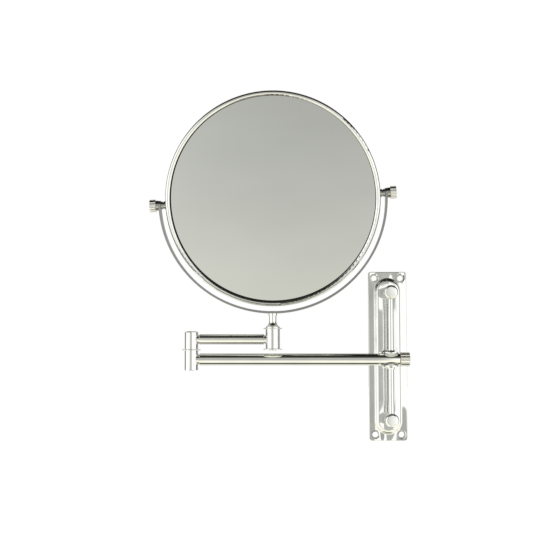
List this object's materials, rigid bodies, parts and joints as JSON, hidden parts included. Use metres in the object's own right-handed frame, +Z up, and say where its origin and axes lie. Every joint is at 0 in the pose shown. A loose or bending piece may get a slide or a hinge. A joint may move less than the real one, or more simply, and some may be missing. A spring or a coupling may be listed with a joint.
{
  "type": "extendable shaving mirror",
  "caption": "Wall-mounted shaving mirror: round two-sided mirror in a half-ring yoke on a folding two-part arm that slides on a vertical rail.",
  "frame": {"origin": "middle of the wall plate's back face, on the wall plane", "axes": "+Z up along the rail, -Y out of the wall towards the user, +X to the right seen from the front"},
  "size_m": [0.2441, 0.0546, 0.3273],
  "materials": {
    "chrome": "polished",
    "plated_steel": "zinc plated",
    "stainless": "turned",
    "nylon": "natural",
    "brass": "turned",
    "silvered_glass": "polished",
    "foam_rubber": "matte"
  },
  "bodies": {
    "wall_mount": {"wall_plate": "chrome", "rail_pillar_top": "chrome", "rail_pillar_bottom": "chrome", "rail_rod": "chrome", "pillar_screws": "plated_steel", "pillar_washers": "plated_steel"},
    "rail_slider": {"rail_bush_top": "nylon", "rail_bush_bottom": "nylon", "rail_collar_top": "chrome", "rail_collar_bottom": "chrome"},
    "lower_arm": {"lower_arm_tube": "chrome", "arm_end_plug": "brass", "lower_elbow_barrel": "chrome", "elbow_washer": "chrome", "elbow_pin": "stainless", "elbow_spring_washer": "plated_steel", "elbow_nut": "plated_steel", "elbow_end_plug": "nylon"},
    "clamp_plunger": {"clamp_pad": "nylon"},
    "clamp_screw": {"clamp_stud": "plated_steel", "clamp_knob": "chrome"},
    "upper_arm": {"upper_elbow_barrel": "chrome", "elbow_cap": "chrome", "upper_arm_tube": "chrome", "post_barrel": "chrome", "post_liner": "nylon", "post_washer_top": "chrome"},
    "yoke_carrier": {"swivel_stem": "chrome", "post_screw": "chrome", "post_washer_bottom": "chrome", "yoke": "chrome", "stem_disc": "chrome", "yoke_screw": "plated_steel"},
    "mirror_head": {"mirror_ring": "chrome", "rear_rim": "chrome", "plain_glass": "silvered_glass", "magnifying_glass": "silvered_glass", "glass_gasket": "foam_rubber", "pivot_boss_left": "chrome", "pivot_boss_right": "chrome"},
    "left_pivot_knob": {"pivot_screw_left": "plated_steel", "pivot_collar_left": "chrome", "pivot_knob_left": "chrome"},
    "right_pivot_knob": {"pivot_screw_right": "plated_steel", "pivot_collar_right": "chrome", "pivot_knob_right": "chrome"}
  },
  "joints": [
    {"name": "rail_slide", "type": "slide", "parent": "wall_mount", "child": "rail_slider", "axis": [0, 0, 1], "range_m": [-0.0405, 0.0465]},
    {"name": "arm_swing", "type": "hinge", "parent": "rail_slider", "child": "lower_arm", "pos_m": [0, -0.028, -0.0031], "axis": [0, 0, 1], "range_deg": [-3, 183]},
    {"name": "clamp_advance", "type": "slide", "parent": "lower_arm", "child": "clamp_plunger", "axis": [1, 0, 0], "range_m": [0, 0.0012]},
    {"name": "clamp_turn", "type": "hinge", "parent": "clamp_plunger", "child": "clamp_screw", "pos_m": [0.01, -0.028, -0.0031], "axis": [1, 0, 0], "range_deg": [0, 540]},
    {"name": "elbow", "type": "hinge", "parent": "lower_arm", "child": "upper_arm", "pos_m": [-0.186, -0.028, 0.0155], "axis": [0, 0, -1], "continuous": true},
    {"name": "yoke_swivel", "type": "hinge", "parent": "upper_arm", "child": "yoke_carrier", "pos_m": [-0.11017, -0.03304, 0.0155], "axis": [0, 0, 1], "continuous": true},
    {"name": "mirror_tilt", "type": "hinge", "parent": "yoke_carrier", "child": "mirror_head", "pos_m": [-0.11017, -0.03304, 0.1467], "axis": [0.998, -0.0349, 0.0523], "continuous": true},
    {"name": "left_knob_turn", "type": "hinge", "parent": "mirror_head", "child": "left_pivot_knob", "pos_m": [-0.11017, -0.03304, 0.1467], "axis": [-0.998, 0.0349, -0.0523], "range_deg": [0, 180]},
    {"name": "right_knob_turn", "type": "hinge", "parent": "mirror_head", "child": "right_pivot_knob", "pos_m": [-0.11017, -0.03304, 0.1467], "axis": [0.998, -0.0349, 0.0523], "range_deg": [0, 180]}
  ],
  "couplings": [
    {"joint": "clamp_advance", "follows": "clamp_turn", "m_per_rad": 0.00012732}
  ]
}
